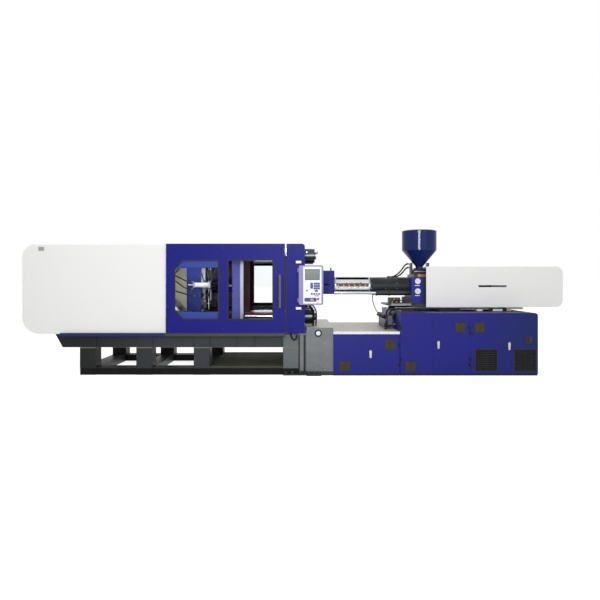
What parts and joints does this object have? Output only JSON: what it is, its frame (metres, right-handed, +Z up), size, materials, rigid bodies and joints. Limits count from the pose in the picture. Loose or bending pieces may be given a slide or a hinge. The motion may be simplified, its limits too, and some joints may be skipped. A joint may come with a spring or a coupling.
{
  "type": "injection moulding machine",
  "caption": "Horizontal toggle-clamp injection moulding machine with sliding guard doors, injection unit, hopper and control box.",
  "frame": {"origin": "on the floor under the middle of the machine's bounding box", "axes": "+X along the machine from the clamp to the injection end, -Y the operator's side, +Z up"},
  "size_m": [8.3, 2.0433, 2.245],
  "materials": {
    "base_grey": "semi-gloss dark grey paint",
    "navy_blue": "smooth deep blue paint",
    "white_sheet": "smooth white paint",
    "beige_sheet": "satin beige paint",
    "platen_blue": "painted casting with machined faces",
    "cast_link": "oiled casting",
    "machined_steel": "machined",
    "polished_bar": "hard chrome",
    "zinc_sheet": "galvanised",
    "clear_pane": "clear polycarbonate",
    "control_grey": "satin light grey",
    "button_red": "gloss",
    "knob_white": "gloss",
    "switch_red": "gloss",
    "polished_handle": "chrome",
    "dark_barrel": "heat-dulled steel",
    "bright_sheet": "stainless",
    "black_sheet": "gloss black",
    "black_steel": "satin black",
    "manifold_grey": "dark grey casting",
    "black_rubber": "matte"
  },
  "bodies": {
    "base": {"base_side_frames": "base_grey", "base_cross_tubes": "base_grey", "clamp_slideways": "machined_steel", "drip_tray": "zinc_sheet", "injection_base_block": "base_grey", "bed_cover_plate": "beige_sheet", "low_cabinet": "navy_blue", "tall_cabinet": "navy_blue", "fixed_platen": "platen_blue", "tie_bars": "polished_bar", "pull_rods": "polished_bar", "clamp_cover": "white_sheet", "door_tracks": "navy_blue", "side_panels": "navy_blue", "carriage_rails": "black_steel", "hydraulic_manifold": "manifold_grey", "heater_cable": "black_rubber", "cooling_hoses": "black_rubber"},
    "rear_platen": {"rear_platen": "platen_blue", "clamp_cylinder": "machined_steel", "mould_height_gear": "machined_steel"},
    "moving_platen": {"moving_platen": "platen_blue"},
    "ejector": {"ejector_bar_and_rods": "machined_steel"},
    "rear_toggle_link_upper": {"rear_toggle_link_upper": "cast_link"},
    "rear_toggle_link_lower": {"rear_toggle_link_lower": "cast_link"},
    "front_toggle_link_upper": {"front_toggle_link_upper": "cast_link"},
    "front_toggle_link_lower": {"front_toggle_link_lower": "cast_link"},
    "crosshead": {"crosshead": "cast_link"},
    "crosshead_link_upper": {"crosshead_link_upper": "cast_link"},
    "crosshead_link_lower": {"crosshead_link_lower": "cast_link"},
    "operator_door": {"operator_door": "navy_blue", "operator_door_windows": "clear_pane"},
    "rear_door": {"rear_door": "navy_blue", "rear_door_windows": "clear_pane"},
    "nozzle_guard": {"nozzle_guard": "navy_blue"},
    "carriage": {"barrel": "dark_barrel", "barrel_front_cover": "bright_sheet", "barrel_rear_cover": "black_sheet", "feed_housing": "black_steel", "feed_cover": "navy_blue", "hopper": "navy_blue", "injection_cylinders": "machined_steel", "injection_cover": "white_sheet", "hopper_cables": "black_rubber"},
    "hopper_gate": {"hopper_gate": "machined_steel"},
    "hopper_lid": {"hopper_lid": "navy_blue"},
    "injection_plate": {"injection_plate": "machined_steel"},
    "screw": {"screw": "machined_steel"},
    "control_box": {"control_box": "control_grey"},
    "emergency_stop_button": {"emergency_stop_button": "button_red"},
    "cycle_start_button": {"cycle_start_button": "button_red"},
    "mode_selector_knob": {"mode_selector_knob": "knob_white"},
    "low_cabinet_door": {"low_cabinet_door": "navy_blue"},
    "low_door_handle": {"low_door_handle": "polished_handle"},
    "tall_cabinet_door_left": {"tall_cabinet_door_left": "navy_blue"},
    "tall_cabinet_door_middle": {"tall_cabinet_door_middle": "navy_blue"},
    "middle_door_handle": {"middle_door_handle": "polished_handle"},
    "tall_cabinet_door_right": {"tall_cabinet_door_right": "navy_blue"},
    "right_door_handle": {"right_door_handle": "polished_handle"},
    "main_switch": {"main_switch": "switch_red"}
  },
  "joints": [
    {"name": "mould_height_adjust", "type": "slide", "parent": "base", "child": "rear_platen", "axis": [1, 0, 0], "range_m": [-0.15, 0.1]},
    {"name": "moving_platen_slide", "type": "slide", "parent": "rear_platen", "child": "moving_platen", "axis": [1, 0, 0], "range_m": [-0.245, 0.245]},
    {"name": "ejector_slide", "type": "slide", "parent": "moving_platen", "child": "ejector", "axis": [1, 0, 0], "range_m": [0, 0.14]},
    {"name": "rear_toggle_upper", "type": "hinge", "parent": "rear_platen", "child": "rear_toggle_link_upper", "pos_m": [-2.54966, 0, 1.85], "axis": [0, 1, 0], "range_deg": [-20.1, 20.1]},
    {"name": "front_toggle_upper", "type": "hinge", "parent": "rear_toggle_link_upper", "child": "front_toggle_link_upper", "pos_m": [-2.20233, 0, 1.49033], "axis": [0, 1, 0], "range_deg": [-40.2, 40.2]},
    {"name": "rear_toggle_lower", "type": "hinge", "parent": "rear_platen", "child": "rear_toggle_link_lower", "pos_m": [-2.54966, 0, 0.81], "axis": [0, 1, 0], "range_deg": [-20.1, 20.1]},
    {"name": "front_toggle_lower", "type": "hinge", "parent": "rear_toggle_link_lower", "child": "front_toggle_link_lower", "pos_m": [-2.20233, 0, 1.16967], "axis": [0, 1, 0], "range_deg": [-40.2, 40.2]},
    {"name": "crosshead_slide", "type": "slide", "parent": "rear_platen", "child": "crosshead", "axis": [1, 0, 0], "range_m": [-0.152, 0.152]},
    {"name": "crosshead_link_upper_pivot", "type": "hinge", "parent": "crosshead", "child": "crosshead_link_upper", "pos_m": [-2.56838, 0, 1.44], "axis": [0, 1, 0], "range_deg": [-21, 21]},
    {"name": "crosshead_link_lower_pivot", "type": "hinge", "parent": "crosshead", "child": "crosshead_link_lower", "pos_m": [-2.56838, 0, 1.22], "axis": [0, 1, 0], "range_deg": [-21, 21]},
    {"name": "operator_door_slide", "type": "slide", "parent": "base", "child": "operator_door", "axis": [1, 0, 0], "range_m": [-1.2, 0]},
    {"name": "rear_door_slide", "type": "slide", "parent": "base", "child": "rear_door", "axis": [1, 0, 0], "range_m": [-1.2, 0]},
    {"name": "nozzle_guard_lift", "type": "hinge", "parent": "base", "child": "nozzle_guard", "pos_m": [0.1, 0, 1.578], "axis": [0, 1, 0], "range_deg": [-85, 0]},
    {"name": "carriage_slide", "type": "slide", "parent": "base", "child": "carriage", "axis": [1, 0, 0], "range_m": [0, 0.3]},
    {"name": "injection_stroke", "type": "slide", "parent": "carriage", "child": "injection_plate", "axis": [1, 0, 0], "range_m": [0, 0.25]},
    {"name": "screw_rotation", "type": "hinge", "parent": "injection_plate", "child": "screw", "pos_m": [2.7, 0, 1.33], "axis": [1, 0, 0], "continuous": true},
    {"name": "hopper_gate_slide", "type": "slide", "parent": "carriage", "child": "hopper_gate", "axis": [0, -1, 0], "range_m": [0, 0.1]},
    {"name": "hopper_lid_hinge", "type": "hinge", "parent": "carriage", "child": "hopper_lid", "pos_m": [1.99, 0.292, 2.229], "axis": [1, 0, 0], "range_deg": [-100, 0]},
    {"name": "control_box_swivel", "type": "hinge", "parent": "base", "child": "control_box", "pos_m": [-0.015, -1.006, 1.3], "axis": [0, 0, 1], "range_deg": [-90, 0]},
    {"name": "emergency_stop_press", "type": "slide", "parent": "control_box", "child": "emergency_stop_button", "axis": [0, 1, 0], "range_m": [0, 0.006], "stiffness_N_per_m": 600, "springref_m": -0.002},
    {"name": "cycle_start_press", "type": "slide", "parent": "control_box", "child": "cycle_start_button", "axis": [0, 1, 0], "range_m": [0, 0.006], "stiffness_N_per_m": 400, "springref_m": -0.002},
    {"name": "mode_selector_turn", "type": "hinge", "parent": "control_box", "child": "mode_selector_knob", "pos_m": [0.282, -1.045, 1.1], "axis": [0, 1, 0], "range_deg": [-45, 45]},
    {"name": "low_cabinet_door_hinge", "type": "hinge", "parent": "base", "child": "low_cabinet_door", "pos_m": [1.5005, -0.959, 0.32], "axis": [0, 0, 1], "range_deg": [0, 90]},
    {"name": "low_door_handle_turn", "type": "hinge", "parent": "low_cabinet_door", "child": "low_door_handle", "pos_m": [1.064, -0.95, 0.363], "axis": [0, 1, 0], "range_deg": [0, 90]},
    {"name": "tall_cabinet_door_left_hinge", "type": "hinge", "parent": "base", "child": "tall_cabinet_door_left", "pos_m": [1.5105, -0.959, 0.48], "axis": [0, 0, 1], "range_deg": [-90, 0]},
    {"name": "tall_cabinet_door_middle_hinge", "type": "hinge", "parent": "base", "child": "tall_cabinet_door_middle", "pos_m": [2.5465, -0.959, 0.48], "axis": [0, 0, 1], "range_deg": [0, 90]},
    {"name": "middle_door_handle_turn", "type": "hinge", "parent": "tall_cabinet_door_middle", "child": "middle_door_handle", "pos_m": [2.074, -0.95, 0.5], "axis": [0, 1, 0], "range_deg": [0, 90]},
    {"name": "tall_cabinet_door_right_hinge", "type": "hinge", "parent": "base", "child": "tall_cabinet_door_right", "pos_m": [2.5495, -0.959, 0.48], "axis": [0, 0, 1], "range_deg": [-90, 0]},
    {"name": "right_door_handle_turn", "type": "hinge", "parent": "tall_cabinet_door_right", "child": "right_door_handle", "pos_m": [3.128, -0.95, 0.481], "axis": [0, 1, 0], "range_deg": [0, 90]},
    {"name": "main_switch_turn", "type": "hinge", "parent": "base", "child": "main_switch", "pos_m": [3.426, -0.95, 0.54], "axis": [0, 1, 0], "range_deg": [0, 90]}
  ],
  "couplings": [
    {"joint": "rear_toggle_upper", "follows": "moving_platen_slide", "rad_per_m": -1.4248},
    {"joint": "rear_toggle_lower", "follows": "moving_platen_slide", "rad_per_m": 1.4248},
    {"joint": "front_toggle_upper", "follows": "moving_platen_slide", "rad_per_m": 2.8495},
    {"joint": "front_toggle_lower", "follows": "moving_platen_slide", "rad_per_m": -2.8495},
    {"joint": "crosshead_slide", "follows": "moving_platen_slide", "ratio": 0.616},
    {"joint": "crosshead_link_upper_pivot", "follows": "moving_platen_slide", "rad_per_m": -1.4746},
    {"joint": "crosshead_link_lower_pivot", "follows": "moving_platen_slide", "rad_per_m": 1.4746}
  ]
}
